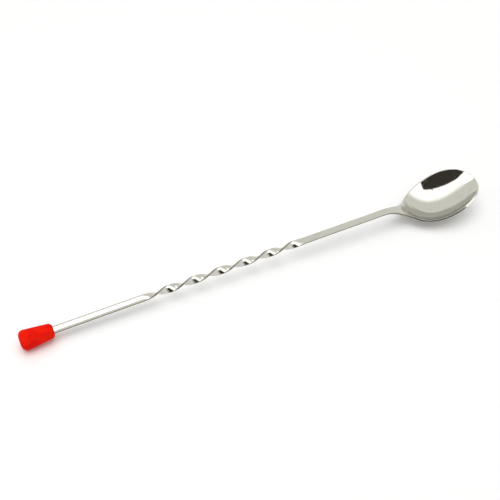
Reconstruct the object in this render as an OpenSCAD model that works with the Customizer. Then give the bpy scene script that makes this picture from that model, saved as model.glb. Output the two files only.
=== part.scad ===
// Bar spoon: a one-piece stamped spoon with a twisted shank, and a plastic cap pushed
// on its tail. It lies on a table as it does when it is put down: the cap's big end and
// the bowl's belly touch z = 0. +X runs from the cap to the bowl's tip, +Z is up, and
// the origin is on the table under the middle of the length.

/* [Overall] */
// Length from the cap's free end to the bowl's tip
total_len = 281; // [230:1:340]
// Height of the strip's crest above the table, where the neck turns down
crest_h = 13; // [10:0.5:20]

/* [Strip] */
// Width of the strip at the cap
strip_w = 4.6; // [3.8:0.1:5.6]
// Width of the strip at the crest
shank_w = 4.2; // [3.4:0.1:5.6]
// Thickness of the sheet that the spoon is stamped from
strip_t = 1.3; // [0.9:0.05:1.6]
// Size of the broken edge along both sides of the sheet
strip_edge = 0.25; // [0.1:0.05:0.35]

/* [Twist] */
// Number of half turns in the twisted stretch
half_turns = 6; // [0:1:8]
// Length of one half turn
half_turn_len = 15.2; // [12:0.1:18]
// Distance from the cap's free end to the start of the twist
twist_from = 72.2; // [40:0.1:80]
// Half the length over which the twist starts and stops
twist_ease = 4.4; // [1:0.1:6]

/* [Neck] */
// Length of the neck, from the crest to the bowl's heel
neck_len = 16; // [12:0.5:24]
// How much the neck widens on each side where it runs into the bowl
flare_w = 7.3; // [4:0.1:9]
// Length over which the neck widens
flare_len = 25; // [15:0.5:30]

/* [Bowl] */
// Length of the bowl, from its heel to its tip
bowl_len = 46; // [36:0.5:56]
// Width of the bowl at its widest
bowl_w = 34.2; // [26:0.2:42]
// Length of the bowl's front, from its widest place to its tip
bowl_nose = 21; // [15:0.5:26]
// Height of the rim at its lowest place, near the heel
heel_h = 7.1; // [5:0.1:10]
// How far past the heel the rim is lowest
heel_past = 5; // [3:0.5:8]
// Height of the rim at the tip
tip_h = 17.3; // [12:0.1:22]
// How far before the heel the hollow starts
hollow_lead = 5; // [2:0.5:8]
// How much steeper the hollow is at its rim than a plain dish
wall_steep = 0.12; // [0:0.05:0.5]

/* [Cap] */
// Length of the cap
cap_len = 18.3; // [15:0.1:26]
// Diameter of the cap's free end
cap_d = 11.4; // [9.5:0.1:16]
// Diameter of the cap's mouth end
mouth_d = 8.6; // [7.2:0.1:9.4]
// Radius of the edge round the free end
cap_edge_r = 2.9; // [0.5:0.1:3.5]
// Radius of the shoulder round the mouth
mouth_edge_r = 2.6; // [0.5:0.1:3]
// How far the strip goes into the cap
tang_len = 14; // [8:0.5:14]
// Space between the strip's end and the bottom of the slot
tang_gap = 0.3; // [0.1:0.1:1]
// How much smaller the slot is than the strip, on each side
cap_squeeze = 0.02; // [0.01:0.01:0.05]

/* [Hidden] */

// Segments across the sheet, an odd number so that the belly stands on a narrow flat,
// and the lengths of the steps along it
across = 11;
plain_step = 8;
twist_step = 1.27;
neck_step = 2;
heel_step = 1.5;
nose_rings = 18;
// Angle, short of the very tip, at which the last ring stands
nose_stop = 86;
// Small step for the slope of the sheet
delta = 0.01;
// Sharpness of the blend between the flare and the bowl's outline
outline_blend = 10;
arc_steps = 10;

cap_r = cap_d / 2;
mouth_r = mouth_d / 2;
// How far the sheet's lower edge stands out past its middle all round the rim
lip_reach = 0.35 * strip_t;
tail_x = -total_len / 2;
tip_x = total_len / 2 - lip_reach;
widest_x = tip_x - bowl_nose;
heel_x = tip_x - bowl_len;
crest_x = heel_x - neck_len;
low_x = heel_x + heel_past;
hollow_x = heel_x - hollow_lead;
twist_x = tail_x + twist_from;
twist_end_x = twist_x + half_turns * half_turn_len;

// The handle's straight line rises from the middle of the cap to the crest. Its tilt
// and the height of the cap's axis depend on each other only a little, so two passes
// settle them.
function axis_h(tilt) = (cap_r - cap_edge_r) * cos(tilt) + cap_edge_r * (1 - sin(tilt));
rough_tilt = atan((crest_h - cap_r) / (crest_x - tail_x));
handle_tilt = atan((crest_h - axis_h(rough_tilt)) / (crest_x - tail_x));
cap_x = tail_x + cap_edge_r * (1 - cos(handle_tilt))
    + (cap_r - cap_edge_r) * sin(handle_tilt);
cap_z = axis_h(handle_tilt);
mouth_x = cap_x + cap_len * cos(handle_tilt);
tang_x = mouth_x - tang_len * cos(handle_tilt);
function handle_z(x) = cap_z + (x - cap_x) * tan(handle_tilt);

function clamp01(u) = min(1, max(0, u));
function mix(a, b, u) = a + (b - a) * u;
// A curve from height a to height b over a run, with given slopes at its ends
function bend(a, b, slope_a, slope_b, run, u) =
    a * (2 * u ^ 3 - 3 * u ^ 2 + 1) + b * (3 * u ^ 2 - 2 * u ^ 3)
    + run * (slope_a * (u ^ 3 - 2 * u ^ 2 + u) + slope_b * (u ^ 3 - u ^ 2));

// Height of the sheet's edge line: the straight handle, the neck down to the heel, and
// the rim up to the tip
function rim_z(x) =
    x < crest_x ? handle_z(x)
    : x < low_x ? bend(handle_z(crest_x), heel_h, tan(handle_tilt), 0,
                       low_x - crest_x, (x - crest_x) / (low_x - crest_x))
    : bend(heel_h, tip_h, 0, 0, tip_x - low_x, (x - low_x) / (tip_x - low_x));

// Depth of the hollow along its middle, as a share of the greatest depth
function nose_share(x) = 1 - ((x - widest_x) / bowl_nose) ^ 2;
function heel_share(x) = (1 - ((widest_x - x) / (widest_x - hollow_x)) ^ 2) ^ 2;
function hollow_share(x) =
    x < hollow_x ? 0 : x < widest_x ? heel_share(x) : max(0, nose_share(x));
function dish(share) = share * (1 + wall_steep * (1 - share));

// The hollow is pressed down until the belly's flat touches the table
flat_v = 1 / (across - 2);
belly_xs = [for (x = [low_x : 0.5 : widest_x]) x];
bowl_depth = min([
    for (x = belly_xs)
        (rim_z(x) - strip_t / 2) / dish(hollow_share(x) * (1 - flat_v * flat_v))]);

// Half width of the sheet: the tapered strip, the flare, and the bowl's egg outline
function strip_half(x) =
    mix(strip_w, shank_w, clamp01((x - mouth_x) / (crest_x - mouth_x))) / 2;
function flare_half(x) =
    strip_half(x) + flare_w * clamp01((x - low_x + flare_len) / flare_len) ^ 3;
function egg_half(x) =
    let (reach = x < widest_x ? bowl_len - bowl_nose : bowl_nose,
         u = (x - widest_x) / reach)
    (bowl_w / 2 - lip_reach) * sqrt(max(0, 1 - u * u));
function blend_half(a, b) = (a ^ outline_blend + b ^ outline_blend) ^ (1 / outline_blend);
function half_width(x) = x < widest_x ? blend_half(flare_half(x), egg_half(x)) : egg_half(x);

// Turn of the strip about its length: a steady left-hand twist, eased in and out
function ease_in(u) = let (h = twist_ease) u < -h ? 0 : u > h ? u : (u + h) ^ 2 / (4 * h);
function turn(x) = half_turns == 0 ? 0
    : -180 / half_turn_len * (ease_in(x - twist_x) - ease_in(x - twist_end_x));

// A point of the sheet's middle surface, v from -1 to 1 across it
function middle(x, v) =
    let (y = v * half_width(x), a = turn(x),
         sink = bowl_depth * dish(hollow_share(x) * (1 - v * v)))
    [x, y * cos(a), rim_z(x) + y * sin(a) - sink];
function across_dir(x, v) =
    let (d = middle(x, min(1, v + delta)) - middle(x, max(-1, v - delta))) d / norm(d);
function along_dir(x, v) =
    let (d = middle(min(x + delta, tip_x - delta), v) - middle(x - delta, v)) d / norm(d);
function square_to_sheet(x, v) =
    let (n = cross(along_dir(x, v), across_dir(x, v))) n / norm(n);

// One face of the sheet across station x, side 1 on top and side -1 below. The edge
// points stand in by the broken edge.
function face_row(x, side) =
    let (inset = 1 - strip_edge / max(half_width(x), 4 * strip_edge))
    [for (i = [0 : across])
        let (w = 2 * i / across - 1,
             outer = i == 0 || i == across,
             v = outer ? w : w * across / (across - 2) * inset,
             lift = strip_t / 2 - (outer ? strip_edge : 0))
        middle(x, v) + side * lift * square_to_sheet(x, v)];
function ring(x) =
    let (top = face_row(x, 1), under = face_row(x, -1))
    concat(top, [for (i = [across : -1 : 0]) under[i]]);

// Stations from a to b, b left out, at steps near the size asked for
function stations(a, b, step) =
    let (n = max(1, round((b - a) / step))) [for (i = [0 : n - 1]) mix(a, b, i / n)];
spoon_xs = concat(
    stations(tang_x, twist_x - twist_ease, plain_step),
    stations(twist_x - twist_ease, twist_end_x + twist_ease, twist_step),
    stations(twist_end_x + twist_ease, crest_x - neck_step, plain_step),
    stations(crest_x - neck_step, low_x, neck_step),
    stations(low_x, widest_x, heel_step),
    [for (i = [0 : nose_rings]) widest_x + bowl_nose * sin(nose_stop * i / nose_rings)]);

// A closed skin over rings that all have the same number of points
function side_faces(count, size) = [
    for (r = [0 : count - 2], j = [0 : size - 1])
        let (a = r * size + j, b = r * size + (j + 1) % size)
        each [[a, b, b + size], [a, b + size, a + size]]];
function end_faces(first, size, flip) = [
    for (j = [0 : size / 2 - 2])
        let (a = first + j, b = first + j + 1,
             c = first + size - 2 - j, d = first + size - 1 - j)
        each flip ? [[a, b, c], [a, c, d]] : [[c, b, a], [d, c, a]]];

module spoon() {
    size = 2 * (across + 1);
    count = len(spoon_xs);
    color("silver")
        polyhedron(
            points = [for (x = spoon_xs) each ring(x)],
            faces = concat(side_faces(count, size), end_faces(0, size, false),
                           end_faces((count - 1) * size, size, true)));
}

// Outline of the cap in radius and distance from its free end: two round corners
// joined by the line that touches both
edge_mid = [cap_r - cap_edge_r, cap_edge_r];
shoulder_mid = [mouth_r - mouth_edge_r, cap_len - mouth_edge_r];
corner_gap = shoulder_mid - edge_mid;
side_angle = atan2(corner_gap[1], corner_gap[0])
    - acos((cap_edge_r - mouth_edge_r) / norm(corner_gap));
function arc(mid, r, from, to) = [
    for (i = [0 : arc_steps])
        let (a = mix(from, to, i / arc_steps)) mid + r * [cos(a), sin(a)]];
cap_outline = concat(
    [[0, 0]],
    arc(edge_mid, cap_edge_r, -90, side_angle),
    arc(shoulder_mid, mouth_edge_r, side_angle, 90),
    [[0, cap_len]]);

module end_cap() {
    slot_t = strip_t - 2 * cap_squeeze;
    slot_w = strip_w - 2 * cap_squeeze;
    slot_len = tang_len + tang_gap;
    color("red")
        translate([cap_x, 0, cap_z])
            rotate([0, 90 - handle_tilt, 0])
                difference() {
                    rotate_extrude($fn = 96)
                        polygon(cap_outline);
                    translate([-slot_t / 2, -slot_w / 2, cap_len - slot_len])
                        cube([slot_t, slot_w, slot_len + cap_edge_r]);
                }
}

spoon();
end_cap();
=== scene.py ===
"""A long bar spoon lying on a pale table.

The stamped steel spoon and its push-on plastic cap are built as fine meshes with the
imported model's own sizes and dressed in node materials. An overhead bank and a pale
room light them, and a cloth tent that only reflections see stands round them.
Everything is in metres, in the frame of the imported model: +X runs from the cap to the
bowl's tip and +Z is up. Sizes in the classes are in millimetres, as on a drawing.
"""

import logging
import math
from collections.abc import Sequence
from dataclasses import dataclass, field

import bpy
from mathutils import Matrix, Vector


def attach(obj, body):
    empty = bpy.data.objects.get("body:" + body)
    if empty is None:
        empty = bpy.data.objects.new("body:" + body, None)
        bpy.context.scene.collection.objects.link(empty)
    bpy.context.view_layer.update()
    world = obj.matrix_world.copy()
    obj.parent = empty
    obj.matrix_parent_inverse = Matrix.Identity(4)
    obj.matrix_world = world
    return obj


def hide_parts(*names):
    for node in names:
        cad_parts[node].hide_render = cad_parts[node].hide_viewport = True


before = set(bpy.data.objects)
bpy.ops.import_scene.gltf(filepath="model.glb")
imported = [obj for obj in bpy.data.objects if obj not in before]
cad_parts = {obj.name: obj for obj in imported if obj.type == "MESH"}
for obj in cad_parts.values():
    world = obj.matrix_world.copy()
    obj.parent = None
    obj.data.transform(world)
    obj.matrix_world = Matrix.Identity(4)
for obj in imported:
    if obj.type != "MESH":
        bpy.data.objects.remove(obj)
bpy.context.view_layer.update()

MM = 0.001
BODY = "root"
LOG = logging.getLogger("bar_spoon")


def mix(start: float, end: float, share: float) -> float:
    """Go a share of the way from start to end."""
    return start + (end - start) * share


def clamp01(value: float) -> float:
    """Hold a value between 0 and 1."""
    return min(1.0, max(0.0, value))


def hermite(start: float, end: float, slopes: tuple[float, float], run: float,
            share: float) -> float:
    """Follow a smooth curve between two heights.

    Args:
        start: Height where the curve begins.
        end: Height where it ends.
        slopes: Slopes at the two ends.
        run: Length of the curve along X.
        share: How far along it, from 0 to 1.

    Returns:
        The height there.
    """
    square, cube = share ** 2, share ** 3
    return (start * (2 * cube - 3 * square + 1) + end * (3 * square - 2 * cube)
            + run * (slopes[0] * (cube - 2 * square + share) + slopes[1] * (cube - square)))


def stations(start: float, end: float, step: float) -> list[float]:
    """List even stations from start up to end, end left out.

    Args:
        start: First station.
        end: Where the next stretch starts.
        step: Spacing to keep near to.

    Returns:
        The stations.
    """
    count = max(1, round((end - start) / step))
    return [mix(start, end, i / count) for i in range(count)]


# ---------------------------------------------------------------- shader building


class Wire:
    """A node's output that can be used in plain arithmetic."""

    def __init__(self, bench: "NodeBench", socket: bpy.types.NodeSocket) -> None:
        """Keep the socket, and the bench that makes nodes beside it."""
        self.bench = bench
        self.socket = socket

    def _math(self, operation: str, first: "Wire | float", second: "Wire | float") -> "Wire":
        """Add one Math node.

        Args:
            operation: What the node does.
            first: Its first input.
            second: Its second input.

        Returns:
            The node's result.
        """
        return self.bench.add("ShaderNodeMath", {"operation": operation},
                              {0: first, 1: second})

    def __add__(self, other: "Wire | float") -> "Wire":
        """Sum of two values."""
        return self._math("ADD", self, other)

    __radd__ = __add__

    def __sub__(self, other: "Wire | float") -> "Wire":
        """This value less another."""
        return self._math("SUBTRACT", self, other)

    def __rsub__(self, other: float) -> "Wire":
        """A number less this value."""
        return self._math("SUBTRACT", other, self)

    def __mul__(self, other: "Wire | float") -> "Wire":
        """Product of two values."""
        return self._math("MULTIPLY", self, other)

    __rmul__ = __mul__


class NodeBench:
    """Makes the nodes of one material."""

    def __init__(self, tree: bpy.types.NodeTree) -> None:
        """Clear the tree and keep it."""
        self.tree = tree
        tree.nodes.clear()

    def add(self, kind: str, settings: dict | None = None, sockets: dict | None = None,
            out: str | int = 0) -> Wire:
        """Add one node of any type.

        Args:
            kind: Name of the node's type.
            settings: Properties, which are set first.
            sockets: Values or links, by the socket's name or number.
            out: Which output to hand back.

        Returns:
            The chosen output.
        """
        node = self.tree.nodes.new(kind)
        for name, setting in (settings or {}).items():
            setattr(node, name, setting)
        for name, given in (sockets or {}).items():
            if isinstance(given, Wire):
                self.tree.links.new(given.socket, node.inputs[name])
            else:
                node.inputs[name].default_value = given
        return Wire(self, node.outputs[out] if node.outputs else None)

    def noise(self, per_metre: Sequence[float], detail: float = 3.0,
              roughness: float = 0.5, stir: float = 0.0) -> Wire:
        """Add smooth noise fixed to the piece.

        Args:
            per_metre: How many blotches to the metre, along X, Y and Z.
            detail: How many finer layers are added.
            roughness: How strong the finer layers are.
            stir: How far the noise is distorted.

        Returns:
            The noise, mostly between 0.3 and 0.7.
        """
        place = self.add("ShaderNodeTexCoord", out="Object")
        spot = self.add("ShaderNodeMapping", {"vector_type": "POINT"},
                        {"Vector": place, "Scale": tuple(per_metre)})
        return self.add("ShaderNodeTexNoise", {"noise_dimensions": "3D"},
                        {"Vector": spot, "Scale": 1.0, "Detail": detail,
                         "Roughness": roughness, "Distortion": stir})

    def remap(self, value: Wire, source: tuple[float, float],
              result: tuple[float, float] = (0.0, 1.0)) -> Wire:
        """Map one range softly to another and hold it at the ends.

        Args:
            value: What to map.
            source: The values that become the two ends.
            result: The two ends.

        Returns:
            The mapped value.
        """
        return self.add("ShaderNodeMapRange",
                        {"clamp": True, "interpolation_type": "SMOOTHSTEP"},
                        {"Value": value, "From Min": source[0], "From Max": source[1],
                         "To Min": result[0], "To Max": result[1]})

    def tint(self, share: "Wire | float", first: "Wire | Sequence",
             second: "Wire | Sequence") -> Wire:
        """Mix two colours by a share."""
        return self.add("ShaderNodeMix", {"data_type": "RGBA"},
                        {0: share, 6: first, 7: second}, out=2)

    def bump(self, height: Wire, depth: float, under: Wire | None = None) -> Wire:
        """Tilt the surface by a height.

        Args:
            height: The height, from 0 to 1.
            depth: How much a height of 1 stands for, in metres.
            under: A tilt to build on.

        Returns:
            The tilted normal.
        """
        sockets = {"Height": height, "Distance": depth, "Strength": 1.0}
        if under is not None:
            sockets["Normal"] = under
        return self.add("ShaderNodeBump", {}, sockets)

    def surface(self, sockets: dict[str, "Wire | float | Sequence"]) -> None:
        """Finish the material with a Principled shader that has these sockets."""
        shader = self.add("ShaderNodeBsdfPrincipled", {}, sockets, out="BSDF")
        self.add("ShaderNodeOutputMaterial", {}, {"Surface": shader})


def new_material(name: str) -> tuple[bpy.types.Material, NodeBench]:
    """Start a node material.

    Args:
        name: The finish's name.

    Returns:
        The material and the bench that makes its nodes.
    """
    material = bpy.data.materials.new(name)
    material.use_nodes = True
    return material, NodeBench(material.node_tree)


@dataclass(frozen=True)
class PolishedSteel:
    """Tumbled and buffed stainless steel with fine lengthwise draw lines."""

    colour: tuple = (0.58, 0.568, 0.538, 1.0)
    dulled: tuple = (0.512, 0.50, 0.468, 1.0)
    # Darker colour of the rough sheared edge, which also carries painted shade on the edge's
    # lower round where it would mirror the shadowed table
    sheared_and_shade: tuple = (0.23, 0.205, 0.16, 1.0)
    gloss: float = 0.07
    smear: float = 0.16
    sheared_rough: float = 0.42

    def material(self) -> bpy.types.Material:
        """Build the finish."""
        steel, bench = new_material("polished_steel")
        draw_lines = bench.noise((90, 2600, 2600), detail=2.0, roughness=0.6)
        smudges = bench.remap(bench.noise((140, 170, 170), detail=4.0, stir=0.6),
                              (0.50, 0.72))
        hairlines = bench.remap(bench.noise((420, 6500, 6500), detail=1.0), (0.60, 0.74))
        ripple = bench.noise((160, 190, 190), detail=1.0)
        rough = self.gloss + (self.smear - self.gloss) * smudges + 0.05 * hairlines
        tilt = bench.bump(ripple, 0.00001)
        tilt = bench.bump(draw_lines, 0.0000008, tilt)
        tilt = bench.bump(hairlines, 0.0000006, tilt)
        # Edge mask: the rough sheared edge plus painted shade spread onto its lower round
        cut_and_shade = bench.add("ShaderNodeAttribute", {"attribute_name": "cut_edge_and_shade"}, out="Fac")
        sheared_and_shade = bench.remap(cut_and_shade, (0.10, 0.60))
        polished = bench.tint(0.55 * smudges + 0.3 * hairlines, self.colour, self.dulled)
        bench.surface({
            "Base Color": bench.tint(sheared_and_shade, polished, self.sheared_and_shade),
            "Metallic": 1.0,
            "Roughness": rough + (self.sheared_rough - self.gloss) * sheared_and_shade,
            "Normal": tilt,
        })
        return steel


@dataclass(frozen=True)
class RedCapPlastic:
    """Soft moulded plastic, saturated red, with a satin skin."""

    colour: tuple = (0.82, 0.010, 0.0003, 1.0)
    shade: tuple = (0.70, 0.003, 0.0001, 1.0)
    roughness: float = 0.46

    def material(self) -> bpy.types.Material:
        """Build the finish."""
        plastic, bench = new_material("red_cap_plastic")
        flow = bench.noise((120, 260, 260), detail=3.0, stir=0.8)
        grain = bench.noise((5200, 5200, 5200), detail=2.0)
        rubs = bench.remap(bench.noise((300, 900, 900), detail=4.0), (0.56, 0.70))
        tilt = bench.bump(bench.noise((420, 420, 420), detail=1.0), 0.00003)
        bench.surface({
            "Base Color": bench.tint(bench.remap(flow, (0.35, 0.68)),
                                     self.colour, self.shade),
            "Roughness": self.roughness + 0.10 * rubs + 0.05 * grain,
            "IOR": 1.45,
            "Specular IOR Level": 0.036,
            "Subsurface Weight": 0.08,
            "Subsurface Radius": (1.0, 0.12, 0.06),
            "Subsurface Scale": 0.0012,
            "Normal": bench.bump(grain, 0.000006, tilt),
        })
        return plastic


@dataclass(frozen=True)
class TablePaper:
    """Plain matt white paper."""

    colour: tuple = (0.93, 0.93, 0.925, 1.0)
    fibre: tuple = (0.915, 0.915, 0.91, 1.0)

    def material(self) -> bpy.types.Material:
        """Build the finish."""
        paper, bench = new_material("table_paper")
        fibres = bench.noise((700, 700, 700), detail=3.0)
        bench.surface({
            "Base Color": bench.tint(fibres, self.colour, self.fibre),
            "Roughness": 0.85,
            "Specular IOR Level": 0.2,
        })
        return paper


# ---------------------------------------------------------------- mesh building


@dataclass
class Skin:
    """Points, their normals and the faces between them."""

    points: list[Vector] = field(default_factory=list)
    normals: list[Vector] = field(default_factory=list)
    faces: list[tuple[int, ...]] = field(default_factory=list)
    cut_and_shade: list[float] = field(default_factory=list)

    def point(self, place: Vector, normal: Vector, cut_and_shade: float = 0.0) -> int:
        """Add a point and give its number.

        Args:
            place: Where it is.
            normal: The surface's normal there.
            cut_and_shade: 1 on a sheared edge and 0 elsewhere, spread wider on the edge's
                lower round as painted shade.

        Returns:
            The point's number.
        """
        self.points.append(place)
        self.normals.append(normal.normalized())
        self.cut_and_shade.append(cut_and_shade)
        return len(self.points) - 1

    def strip(self, first: Sequence[int], second: Sequence[int]) -> None:
        """Join two rows of points with faces, first to second."""
        for i in range(len(first) - 1):
            self.faces.append((first[i], first[i + 1], second[i + 1], second[i]))

    def piece(self, name: str, finish: bpy.types.Material, slot: str,
              node: str) -> bpy.types.Object:
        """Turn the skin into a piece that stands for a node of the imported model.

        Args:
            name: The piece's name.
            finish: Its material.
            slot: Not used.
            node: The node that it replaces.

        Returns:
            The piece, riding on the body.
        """
        mesh = bpy.data.meshes.new(name)
        mesh.from_pydata([p * MM for p in self.points], [], self.faces)
        mesh.attributes.new("cut_edge_and_shade", "FLOAT", "POINT").data.foreach_set(
            "value", self.cut_and_shade)
        mesh.shade_smooth()
        mesh.normals_split_custom_set_from_vertices(self.normals)
        mesh.materials.append(finish)
        made = bpy.data.objects.new(name, mesh)
        bpy.context.scene.collection.objects.link(made)
        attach(made, BODY)
        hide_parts(node)
        return made


@dataclass(frozen=True)
class HandleLine:
    """The straight line of the handle, which rises from the cap to the neck's crest."""

    total_len: float = 281.0
    crest_h: float = 13.0
    crest_back: float = 62.0
    cap_r: float = 5.7
    cap_edge_r: float = 2.9
    cap_len: float = 18.3
    lip_reach: float = 0.455

    def axis_height(self, tilt: float) -> float:
        """Height of the cap's axis at its free end when it lies at this tilt."""
        return ((self.cap_r - self.cap_edge_r) * math.cos(tilt)
                + self.cap_edge_r * (1 - math.sin(tilt)))

    @property
    def tail_x(self) -> float:
        """Where the object begins."""
        return -self.total_len / 2

    @property
    def tip_x(self) -> float:
        """Where the sheet's middle ends at the bowl's tip."""
        return self.total_len / 2 - self.lip_reach

    @property
    def crest_x(self) -> float:
        """Where the neck's crest stands."""
        return self.tip_x - self.crest_back

    @property
    def tilt(self) -> float:
        """Angle of the handle above the table, settled in two passes."""
        run = self.crest_x - self.tail_x
        rough = math.atan((self.crest_h - self.cap_r) / run)
        return math.atan((self.crest_h - self.axis_height(rough)) / run)

    @property
    def cap_x(self) -> float:
        """Where the cap's axis starts."""
        return (self.tail_x + self.cap_edge_r * (1 - math.cos(self.tilt))
                + (self.cap_r - self.cap_edge_r) * math.sin(self.tilt))

    @property
    def cap_z(self) -> float:
        """Height at which the cap's axis starts."""
        return self.axis_height(self.tilt)

    @property
    def mouth_x(self) -> float:
        """Where the cap ends."""
        return self.cap_x + self.cap_len * math.cos(self.tilt)

    def height(self, x: float) -> float:
        """Height of the line over the table."""
        return self.cap_z + (x - self.cap_x) * math.tan(self.tilt)


@dataclass
class StampedSpoon:
    """The one-piece spoon: tang, tail, twist, shank, neck and bowl."""

    line: HandleLine
    strip_w: float = 4.6
    shank_w: float = 4.2
    strip_t: float = 1.3
    edge_r: float = 0.16
    rim_r: float = 0.30
    crown: float = 0.16
    half_turns: int = 6
    half_turn_len: float = 15.2
    twist_from: float = 72.2
    twist_ease: float = 4.4
    flare_w: float = 7.3
    flare_len: float = 25.0
    bowl_len: float = 46.0
    bowl_w: float = 34.2
    bowl_nose: float = 21.0
    heel_h: float = 7.1
    heel_past: float = 5.0
    tip_h: float = 17.3
    hollow_lead: float = 5.0
    wall_steep: float = 0.12
    tang_len: float = 14.0
    outline_blend: float = 10.0
    # Share of the sheared edge's dark and painted shade kept on the bowl's rim
    rim_cut_and_shade_share: float = 0.15
    across: int = 44
    edge_steps: int = 5
    nose_rows: int = 44
    plain_step: float = 2.5
    twist_step: float = 0.35
    bowl_step: float = 0.6
    belly_step: float = 0.25
    crest_margin: float = 6.0
    slope_step: float = 0.01
    # How far the sheared edge's dark spreads onto its upper and lower rounds; the wider
    # spread below is painted shade
    cut_and_shade_fade_up: int = 5
    cut_and_shade_fade_down: int = 2
    widest_x: float = field(init=False)
    heel_x: float = field(init=False)
    low_x: float = field(init=False)
    hollow_x: float = field(init=False)
    twist_x: float = field(init=False)
    twist_end_x: float = field(init=False)
    egg_r: float = field(init=False)
    depth: float = field(init=False)

    def __post_init__(self) -> None:
        """Work out the places along the sheet and how deep the hollow is pressed."""
        line = self.line
        self.widest_x = line.tip_x - self.bowl_nose
        self.heel_x = line.tip_x - self.bowl_len
        self.low_x = self.heel_x + self.heel_past
        self.hollow_x = self.heel_x - self.hollow_lead
        self.twist_x = line.tail_x + self.twist_from
        self.twist_end_x = self.twist_x + self.half_turns * self.half_turn_len
        self.egg_r = self.bowl_w / 2 - line.lip_reach
        self.depth = min(
            (self.rim_height(x) - self.strip_t / 2) / self.dish(self.hollow_share(x, 0))
            for x in stations(self.low_x, self.widest_x, self.belly_step))

    def rim_height(self, x: float) -> float:
        """Height of the sheet's edge line: handle, neck, heel and rim."""
        line = self.line
        if x < line.crest_x:
            return line.height(x)
        if x < self.low_x:
            run = self.low_x - line.crest_x
            slopes = (math.tan(line.tilt), 0.0)
            return hermite(line.height(line.crest_x), self.heel_h, slopes, run,
                           (x - line.crest_x) / run)
        run = line.tip_x - self.low_x
        return hermite(self.heel_h, self.tip_h, (0.0, 0.0), run, (x - self.low_x) / run)

    def hollow_share(self, x: float, y: float) -> float:
        """Depth of the hollow at a place, as a share of the greatest depth."""
        if x < self.hollow_x:
            return 0.0
        if x < self.widest_x:
            ahead = (self.widest_x - x) / (self.widest_x - self.hollow_x)
            return (1 - ahead ** 2) ** 2 * (1 - (y / self.half_width(x)) ** 2)
        return 1 - ((x - self.widest_x) / self.bowl_nose) ** 2 - (y / self.egg_r) ** 2

    def dish(self, share: float) -> float:
        """Give the hollow a wall steeper than a plain dish's."""
        return share * (1 + self.wall_steep * (1 - share))

    def half_width(self, x: float) -> float:
        """Half the sheet's width: tapered strip, flare and the bowl's egg outline."""
        line = self.line
        taper = clamp01((x - line.mouth_x) / (line.crest_x - line.mouth_x))
        strip = mix(self.strip_w, self.shank_w, taper) / 2
        flare = strip + self.flare_w * clamp01(
            (x - self.low_x + self.flare_len) / self.flare_len) ** 3
        back = (x - self.widest_x) / (self.bowl_len - self.bowl_nose)
        egg = self.egg_r * math.sqrt(max(0.0, 1 - back ** 2))
        power = self.outline_blend
        return (flare ** power + egg ** power) ** (1 / power)

    def turn(self, x: float) -> float:
        """Left-hand turn of the strip about its length, in radians."""
        return -math.pi / self.half_turn_len * (
            self.eased(x - self.twist_x) - self.eased(x - self.twist_end_x))

    def eased(self, run: float) -> float:
        """Zero before a corner and the run after it, with the corner rounded."""
        ease = self.twist_ease
        if abs(run) >= ease:
            return max(0.0, run)
        return (run + ease) ** 2 / (4 * ease)

    def middle(self, x: float, y: float) -> Vector:
        """Point of the sheet's middle surface, y across the sheet from its centreline."""
        angle = self.turn(x)
        sink = self.depth * self.dish(self.hollow_share(x, y))
        return Vector((x, y * math.cos(angle),
                       self.rim_height(x) + y * math.sin(angle) - sink))

    def normal(self, x: float, y: float) -> Vector:
        """Upward normal of the middle surface."""
        step = self.slope_step
        along = self.middle(x + step, y) - self.middle(x - step, y)
        over = self.middle(x, y + step) - self.middle(x, y - step)
        return along.cross(over).normalized()

    def thin(self, x: float, y: float) -> tuple[float, float]:
        """How much the tumbled handle is thinned at a place, and how fast it thins.

        Args:
            x: Place along the sheet.
            y: Place across it.

        Returns:
            The loss on each face, and its slope across the sheet.
        """
        half = self.half_width(x)
        fade = clamp01((self.heel_x - x) / self.flare_len)
        share = y / half
        return self.crown * fade * share ** 2, 2 * self.crown * fade * share / half

    def sheared_and_shade_share(self, x: float) -> float:
        """How dark the sheared edge and its painted shade are at a station: full on the
        handle, weaker on the bowl's rim.
        """
        return mix(1.0, self.rim_cut_and_shade_share, self.bowl_share(x))

    def bowl_share(self, x: float) -> float:
        """Go from 0 on the neck to 1 on the bowl."""
        return clamp01((x - self.heel_x) / self.heel_past + 0.5)

    def edge_radius(self, x: float) -> float:
        """Radius of the sheet's round edges at a station, larger on the bowl's rim."""
        return mix(self.edge_r, self.rim_r, self.bowl_share(x))

    def rows(self) -> list[list[tuple[float, float]]]:
        """Lay out rows of places, each row running across the sheet.

        Returns:
            For each row, the x and y of its places. Rows are straight up to the bowl's
            widest place, and then bend round its nose.
        """
        line = self.line
        tang_x = line.mouth_x - self.tang_len * math.cos(line.tilt)
        ease = self.twist_ease
        bend_x = line.crest_x - self.crest_margin
        xs = (stations(tang_x, self.twist_x - ease, self.plain_step)
              + stations(self.twist_x - ease, self.twist_end_x + ease, self.twist_step)
              + stations(self.twist_end_x + ease, bend_x, self.plain_step)
              + stations(bend_x, self.widest_x, self.bowl_step))
        shares = [2 * j / self.across - 1 for j in range(self.across + 1)]
        laid = [[(x, v * self.half_width(x)) for v in shares] for x in xs]
        for k in range(self.nose_rows + 1):
            p = k / self.nose_rows
            laid.append([
                (self.widest_x + self.bowl_nose * p * math.sqrt(1 - v * v / 2),
                 self.egg_r * v * math.sqrt(1 - p * p / 2)) for v in shares])
        return laid

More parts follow.
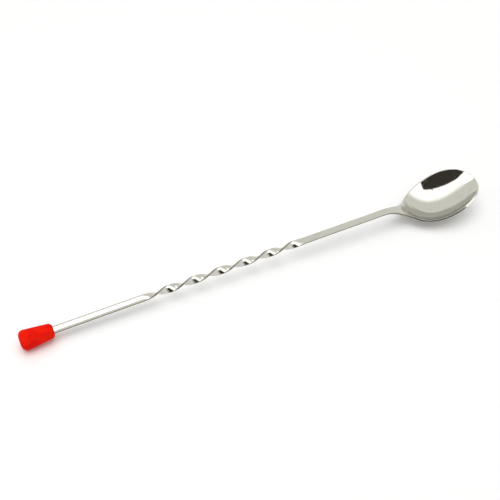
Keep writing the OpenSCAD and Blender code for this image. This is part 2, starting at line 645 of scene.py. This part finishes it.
    def build(self) -> Skin:
        """Thicken the middle surface into a sheet with round edges.

        Returns:
            The closed skin.
        """
        skin = Skin()
        rows = self.rows()
        last, far = len(rows) - 1, self.across
        border = ([(r, 0) for r in range(last)] + [(last, j) for j in range(far)]
                  + [(r, far) for r in range(last, 0, -1)]
                  + [(0, j) for j in range(far, 0, -1)])
        place = {(r, j): self.middle(*rows[r][j]) for r in range(last + 1)
                 for j in range(far + 1)}
        normal = {(r, j): self.normal(*rows[r][j]) for r in range(last + 1)
                  for j in range(far + 1)}
        outward = {}
        for i, key in enumerate(border):
            ahead = place[border[(i + 1) % len(border)]] - place[border[i - 1]]
            outward[key] = ahead.cross(normal[key]).normalized()
        core = {key: place[key] - outward[key] * self.edge_radius(rows[key[0]][key[1]][0])
                if key in outward else place[key] for key in place}
        number = {1: {}, -1: {}}
        for (r, j), middle in core.items():
            up = normal[(r, j)]
            loss, slope = self.thin(*rows[r][j])
            angle = self.turn(rows[r][j][0])
            across = Vector((0.0, math.cos(angle), math.sin(angle)))
            for side in (1, -1):
                number[side][(r, j)] = skin.point(
                    middle + up * (self.strip_t / 2 - loss) * side,
                    up * side + across * slope)
        for r in range(last):
            upper = [[number[1][(k, j)] for j in range(far + 1)] for k in (r, r + 1)]
            lower = [[number[-1][(k, j)] for j in range(far + 1)] for k in (r + 1, r)]
            skin.strip(upper[1], upper[0])
            skin.strip(lower[1], lower[0])
        self.round_edges(skin, border, (core, normal, outward), number, rows)
        return skin

    def round_edges(self, skin: Skin, border: list[tuple[int, int]],
                    frames: tuple[dict, dict, dict], number: dict[int, dict],
                    places: list[list[tuple[float, float]]]) -> None:
        """Close the sheet's rim with two round corners and the flat between them.

        Args:
            skin: The skin to add to.
            border: The border's places in order.
            frames: Core point, normal and outward direction of each place.
            number: Point numbers of the upper and lower faces.
            places: The x and y of every place.
        """
        core, normal, outward = frames
        loss = {key: self.thin(*places[key[0]][key[1]])[0] for key in border}
        rows = [[number[1][key] for key in border]]
        for side, fade in ((1, self.cut_and_shade_fade_up), (-1, self.cut_and_shade_fade_down)):
            for step in range(self.edge_steps + 1):
                share = step / self.edge_steps
                angle = math.radians(90 * (1 - share) if side > 0 else -90 * share)
                if step == (0 if side > 0 else self.edge_steps):
                    continue
                row = []
                for key in border:
                    x = places[key[0]][key[1]][0]
                    radius = self.edge_radius(x)
                    flat = self.strip_t / 2 - radius
                    swing = (outward[key] * math.cos(angle)
                             + normal[key] * math.sin(angle))
                    spot = (core[key] + normal[key] * (flat - loss[key]) * side
                            + swing * radius)
                    # Sheared edge's dark, spread wider on the lower round as painted shade
                    cut_and_shade = math.cos(angle) ** fade * self.sheared_and_shade_share(x)
                    row.append(skin.point(spot, swing, cut_and_shade))
                rows.append(row)
        rows.append([number[-1][key] for key in border])
        for first, second in zip(rows, rows[1:]):
            skin.strip([*second, second[0]], [*first, first[0]])

    def dress(self, skin: Skin) -> bpy.types.Object:
        """Make the piece and give it its steel."""
        return skin.piece("stamped_spoon", PolishedSteel().material(), "steel", "spoon")


@dataclass
class PushOnCap:
    """The tapered plastic cap, with a slot that the strip's tail is pushed into."""

    line: HandleLine
    strip_w: float = 4.6
    strip_t: float = 1.3
    mouth_r: float = 4.3
    mouth_edge_r: float = 2.6
    lip_gap: float = 0.05
    slot_depth: float = 3.0
    dimple_r: float = 1.1
    dimple_depth: float = 0.25
    shoulder_stop: float = 58.0
    slot_corner_r: float = 0.32
    lip_grow: float = 0.2
    lip_depth: float = 0.6
    flat_rings: int = 4
    segments: int = 96
    corner_steps: int = 12

    def outline(self) -> list[tuple[float, float, float]]:
        """List the outline as radius, distance from the free end and normal's angle.

        Returns:
            Points from the rim of the free end's dimple to the mouth's shoulder.
        """
        edge_r, line = self.line.cap_edge_r, self.line
        edge = (line.cap_r - edge_r, edge_r)
        shoulder = (self.mouth_r - self.mouth_edge_r, line.cap_len - self.mouth_edge_r)
        gap = Vector((shoulder[0] - edge[0], shoulder[1] - edge[1]))
        lean = math.atan2(gap.y, gap.x) - math.acos((edge_r - self.mouth_edge_r) / gap.length)
        points = []
        for middle, radius, start, end in (
                (edge, edge_r, -math.pi / 2, lean),
                (shoulder, self.mouth_edge_r, lean, math.radians(self.shoulder_stop))):
            for step in range(self.corner_steps + 1):
                angle = mix(start, end, step / self.corner_steps)
                points.append((middle[0] + radius * math.cos(angle),
                               middle[1] + radius * math.sin(angle), angle))
        return points

    def seat(self, across: float, over: float, along: float) -> Vector:
        """Place a point of the cap on the handle's line.

        Args:
            across: Distance along Y.
            over: Distance square to the strip's face.
            along: Distance from the free end.

        Returns:
            The point in the frame.
        """
        cos, sin = math.cos(self.line.tilt), math.sin(self.line.tilt)
        return Vector((self.line.cap_x + along * cos - over * sin, across,
                       self.line.cap_z + along * sin + over * cos))

    def swing(self, across: float, over: float, along: float) -> Vector:
        """Turn a direction of the cap into the frame."""
        return self.seat(across, over, along) - self.seat(0, 0, 0)

    def ring(self, skin: Skin, radius: float, along: float, angle: float) -> list[int]:
        """Add one round ring of points and give their numbers."""
        row = []
        for i in range(self.segments):
            turn = 2 * math.pi * i / self.segments
            c, s = math.cos(turn), math.sin(turn)
            lean = self.swing(math.cos(angle) * c, math.cos(angle) * s, math.sin(angle))
            row.append(skin.point(self.seat(radius * c, radius * s, along), lean))
        return row

    def slot_ring(self, skin: Skin, grow: float, along: float | None,
                  blend: float) -> list[int]:
        """Add a ring between the shoulder's last circle and the slot's outline.

        Args:
            skin: The skin to add to.
            grow: How far the outline stands outside the strip.
            along: Distance from the free end, or None to stay on the shoulder's dome.
            blend: 0 for the circle, 1 for the slot's outline.

        Returns:
            The ring's point numbers.
        """
        row = []
        shoulder_r = self.mouth_r - self.mouth_edge_r
        stop = math.radians(self.shoulder_stop)
        circle_r = shoulder_r + self.mouth_edge_r * math.cos(stop)
        half_w, half_t = self.strip_w / 2 + grow, self.strip_t / 2 + grow
        corner = min(half_t, self.slot_corner_r + grow)
        for i in range(self.segments):
            turn = 2 * math.pi * i / self.segments
            c, s = math.cos(turn), math.sin(turn)
            edge = rounded_box(c, s, half_w, half_t, corner)
            y, z = mix(circle_r * c, edge[0], blend), mix(circle_r * s, edge[1], blend)
            r = math.hypot(y, z)
            over = max(0.0, r - shoulder_r)
            dome = (self.line.cap_len - self.mouth_edge_r
                    + math.sqrt(self.mouth_edge_r ** 2 - over ** 2))
            slope = over / self.mouth_edge_r
            up = self.swing(slope * c, slope * s, math.sqrt(1 - slope ** 2))
            inward = self.swing(-c * 0.3, -s, 0.0)
            normal = up if along is None else inward
            row.append(skin.point(self.seat(y, z, dome if along is None else along),
                                  normal))
        return row

    def build(self) -> Skin:
        """Build the cap: dimpled free end, cone, shoulder, lip and the slot's walls.

        Returns:
            The closed skin.
        """
        skin = Skin()
        flat_r = self.line.cap_r - self.line.cap_edge_r
        centre = skin.point(self.seat(0, 0, self.dimple_depth), self.swing(0, 0, -1))
        rings = []
        for step in range(1, self.corner_steps + 1):
            share = step / self.corner_steps
            sink = self.dimple_depth * (1 + math.cos(math.pi * share)) / 2
            slope = (self.dimple_depth * math.pi / 2 / self.dimple_r
                     * math.sin(math.pi * share))
            rings.append(self.ring(skin, self.dimple_r * share, sink,
                                   -math.pi / 2 - math.atan(slope)))
        rings += [self.ring(skin, mix(self.dimple_r, flat_r, k / self.flat_rings), 0,
                            -math.pi / 2) for k in range(1, self.flat_rings)]
        rings += [self.ring(skin, *spot) for spot in self.outline()]
        rings += [self.slot_ring(skin, self.lip_grow, None, share)
                  for share in (0.3, 0.6, 0.85, 1.0)]
        top = self.line.cap_len
        rings += [self.slot_ring(skin, self.lip_gap + 0.05, None, 1.0)]
        rings += [self.slot_ring(skin, self.lip_gap, top - depth, 1.0)
                  for depth in (self.lip_depth, self.slot_depth)]
        for first, second in zip(rings, rings[1:]):
            skin.strip([*first, first[0]], [*second, second[0]])
        bottom = skin.point(self.seat(0, 0, top - self.slot_depth), self.swing(0, 0, 1))
        for i in range(self.segments):
            j = (i + 1) % self.segments
            skin.faces.append((centre, rings[0][j], rings[0][i]))
            skin.faces.append((bottom, rings[-1][i], rings[-1][j]))
        return skin

    def dress(self, skin: Skin) -> bpy.types.Object:
        """Make the piece and give it its plastic."""
        return skin.piece("push_on_cap", RedCapPlastic().material(), "cap_plastic",
                          "end_cap")


# How fast a turn of the ray runs along the box's long and short sides
BOX_PULL_X = 1.6
BOX_PULL_Y = 3.0


def rounded_box(c: float, s: float, half_w: float, half_t: float,
                corner: float) -> tuple[float, float]:
    """Find where a ray from the centre leaves a box with round corners.

    Args:
        c: Cosine of the ray's angle on a circle.
        s: Sine of it.
        half_w: Half the box's width.
        half_t: Half its thickness.
        corner: Radius of its corners.

    Returns:
        The point on the outline.
    """
    x = (half_w - corner) * max(-1.0, min(1.0, BOX_PULL_X * c))
    y = (half_t - corner) * max(-1.0, min(1.0, BOX_PULL_Y * s))
    return x + corner * c, y + corner * s


# ---------------------------------------------------------------- studio


@dataclass(frozen=True)
class SoftPanel:
    """A soft light panel hung level over the far side of the tail."""

    middle: tuple[float, float, float] = (-0.09, 0.125, 0.168)
    width: float = 0.10
    depth: float = 0.058
    watts: float = 0.0385

    def build(self) -> None:
        """Hang the panel so that it faces the spoon's tail."""
        lamp = bpy.data.lights.new("soft_panel", "AREA")
        lamp.shape = "RECTANGLE"
        lamp.size, lamp.size_y = self.width, self.depth
        lamp.energy = self.watts
        made = bpy.data.objects.new("soft_panel", lamp)
        bpy.context.scene.collection.objects.link(made)
        made.location = self.middle
        aim = Vector((self.middle[0], 0.0, 0.0)) - Vector(self.middle)
        made.rotation_euler = aim.to_track_quat("-Z", "Y").to_euler()
        made.visible_camera = False


@dataclass(frozen=True)
class LightTent:
    """The cloth tent that the steel mirrors, which gives the table no light.

    It is bright in front and grey behind, with one dark opening over a grey skirt.
    """

    radius: float = 2.5
    front_heading: float = -152.5
    bright: tuple = (1.94, 1.94, 1.91, 1.0)
    grey: tuple = (0.97, 0.98, 0.918, 1.0)
    skirt_grey: tuple = (0.62, 0.62, 0.57, 1.0)
    dark: tuple = (0.048, 0.043, 0.035, 1.0)
    fade: tuple[float, float] = (-0.22, 0.13)
    opening_centre: tuple[float, float] = (0.11, 0.0)
    opening_ahead: float = 1.0
    opening_half: float = 1.15
    opening_low: float = 0.36
    opening_high: float = 1.62
    opening_slope: float = 0.17
    skirt_half: float = 1.9
    turns: int = 48
    levels: int = 16

    def ahead(self) -> Vector:
        """Level direction towards the tent's open front."""
        heading = math.radians(self.front_heading)
        return Vector((math.sin(heading), math.cos(heading), 0.0))

    def cloth(self) -> bpy.types.Material:
        """Make the glowing cloth, which fades from bright in front to grey behind."""
        cloth, bench = new_material("tent_cloth")
        place = bench.add("ShaderNodeTexCoord", out="Object")
        front = bench.add("ShaderNodeVectorMath", {"operation": "DOT_PRODUCT"},
                          {0: place, 1: tuple(self.ahead() / self.radius)}, out="Value")
        colour = bench.tint(bench.remap(front, self.fade), self.grey, self.bright)
        glow = bench.add("ShaderNodeEmission", {}, {"Color": colour})
        bench.add("ShaderNodeOutputMaterial", {}, {"Surface": glow})
        return cloth

    def plain(self, name: str, colour: tuple) -> bpy.types.Material:
        """Make a plain glowing material of one colour."""
        made, bench = new_material(name)
        glow = bench.add("ShaderNodeEmission", {}, {"Color": colour})
        bench.add("ShaderNodeOutputMaterial", {}, {"Surface": glow})
        return made

    def build(self) -> None:
        """Pitch the tent, with its opening and its skirt."""
        points, faces = [], []
        turns = self.turns
        for level in range(self.levels + 1):
            rise = math.radians(90 * level / self.levels)
            for turn in range(turns):
                spin = 2 * math.pi * turn / turns
                points.append(self.radius * Vector((
                    math.cos(rise) * math.cos(spin), math.cos(rise) * math.sin(spin),
                    math.sin(rise))))
        for level in range(self.levels):
            for turn in range(turns):
                low, high = level * turns, (level + 1) * turns
                after = (turn + 1) % turns
                faces.append((low + turn, low + after, high + after, high + turn))
        self.pitch("tent", points, faces, self.cloth()).location = (
            *self.opening_centre, 0.0)
        ahead = self.ahead()
        side = Vector((ahead.y, -ahead.x, 0.0))
        foot = Vector((*self.opening_centre, 0.0)) + ahead * self.opening_ahead
        low, high = self.opening_low, self.opening_high
        half, skirt = self.opening_half, self.skirt_half
        slanted = high - self.opening_slope
        for name, finish, corners in (
                ("tent_opening", self.plain("dark_opening", self.dark),
                 ((-half, low), (half, low), (half, high), (-half, slanted))),
                ("tent_skirt", self.plain("grey_skirt", self.skirt_grey),
                 ((-skirt, 0.0), (skirt, 0.0), (skirt, low), (-skirt, low)))):
            points = [foot + side * across + Vector((0, 0, up)) for across, up in corners]
            self.pitch(name, points, [(0, 1, 2, 3)], finish)

    def pitch(self, name: str, points: Sequence[Vector], faces: Sequence[tuple],
              finish: bpy.types.Material) -> bpy.types.Object:
        """Add one part of the tent, which only reflections see."""
        mesh = bpy.data.meshes.new(name)
        mesh.from_pydata(points, [], faces)
        mesh.materials.append(finish)
        made = bpy.data.objects.new(name, mesh)
        bpy.context.scene.collection.objects.link(made)
        made.visible_camera = False
        made.visible_diffuse = False
        made.visible_shadow = False
        return made


@dataclass
class Studio:
    """Table, lights and camera."""

    table_half: float = 3.0
    azimuth: float = -23.72
    elevation: float = 49.0
    distance: float = 0.480
    target: tuple[float, float, float] = (-0.00174, 0.0149, 0.0)
    roll: float = 0.15
    lens: float = 58.86
    sensor_width: float = 36.0
    overhead_width: float = 58.0
    overhead_strength: float = 1.70
    room_strength: float = 0.525

    def lay_table(self) -> bpy.types.Object:
        """Lay the pale table top."""
        h = self.table_half
        mesh = bpy.data.meshes.new("table_top")
        mesh.from_pydata([(-h, -h, 0), (h, -h, 0), (h, h, 0), (-h, h, 0)], [],
                         [(0, 1, 2, 3)])
        mesh.materials.append(TablePaper().material())
        table = bpy.data.objects.new("table_top", mesh)
        bpy.context.scene.collection.objects.link(table)
        return table

    def hang_lights(self) -> None:
        """Hang the overhead bank and the panel, pitch the tent and set the pale room."""
        overhead = bpy.data.lights.new("overhead_bank", "SUN")
        overhead.angle = math.radians(self.overhead_width)
        overhead.energy = self.overhead_strength
        bank = bpy.data.objects.new("overhead_bank", overhead)
        bpy.context.scene.collection.objects.link(bank)
        bank.visible_glossy = False
        SoftPanel().build()
        LightTent().build()
        world = bpy.data.worlds.new("pale_room")
        bpy.context.scene.world = world
        world.use_nodes = True
        room = world.node_tree.nodes["Background"]
        room.inputs["Color"].default_value = (1.0, 1.0, 0.99, 1.0)
        room.inputs["Strength"].default_value = self.room_strength

    def stand_camera(self) -> bpy.types.Object:
        """Stand the camera and make it the scene's own."""
        azimuth, elevation = math.radians(self.azimuth), math.radians(self.elevation)
        back = Vector((math.sin(azimuth) * math.cos(elevation),
                       -math.cos(azimuth) * math.cos(elevation), math.sin(elevation)))
        lens = bpy.data.cameras.new("table_camera")
        lens.lens = self.lens
        lens.sensor_width = self.sensor_width
        camera = bpy.data.objects.new("table_camera", lens)
        bpy.context.scene.collection.objects.link(camera)
        camera.location = Vector(self.target) + back * self.distance
        turn = (-back).to_track_quat("-Z", "Y").to_matrix()
        turn = turn @ Matrix.Rotation(math.radians(self.roll), 3, "Z")
        camera.rotation_euler = turn.to_euler()
        bpy.context.scene.camera = camera
        return camera


def main() -> None:
    """Build the spoon, its cap and the studio round them."""
    logging.basicConfig(level=logging.INFO, format="%(name)s: %(message)s")
    studio = Studio()
    studio.stand_camera()
    studio.lay_table()
    studio.hang_lights()
    line = HandleLine()
    for maker in (StampedSpoon(line), PushOnCap(line)):
        piece = maker.dress(maker.build())
        LOG.info("%s: %d points, %d faces", piece.name, len(piece.data.vertices),
                 len(piece.data.polygons))
    bpy.context.scene.view_settings.view_transform = "Standard"


if __name__ == "__main__":
    main()
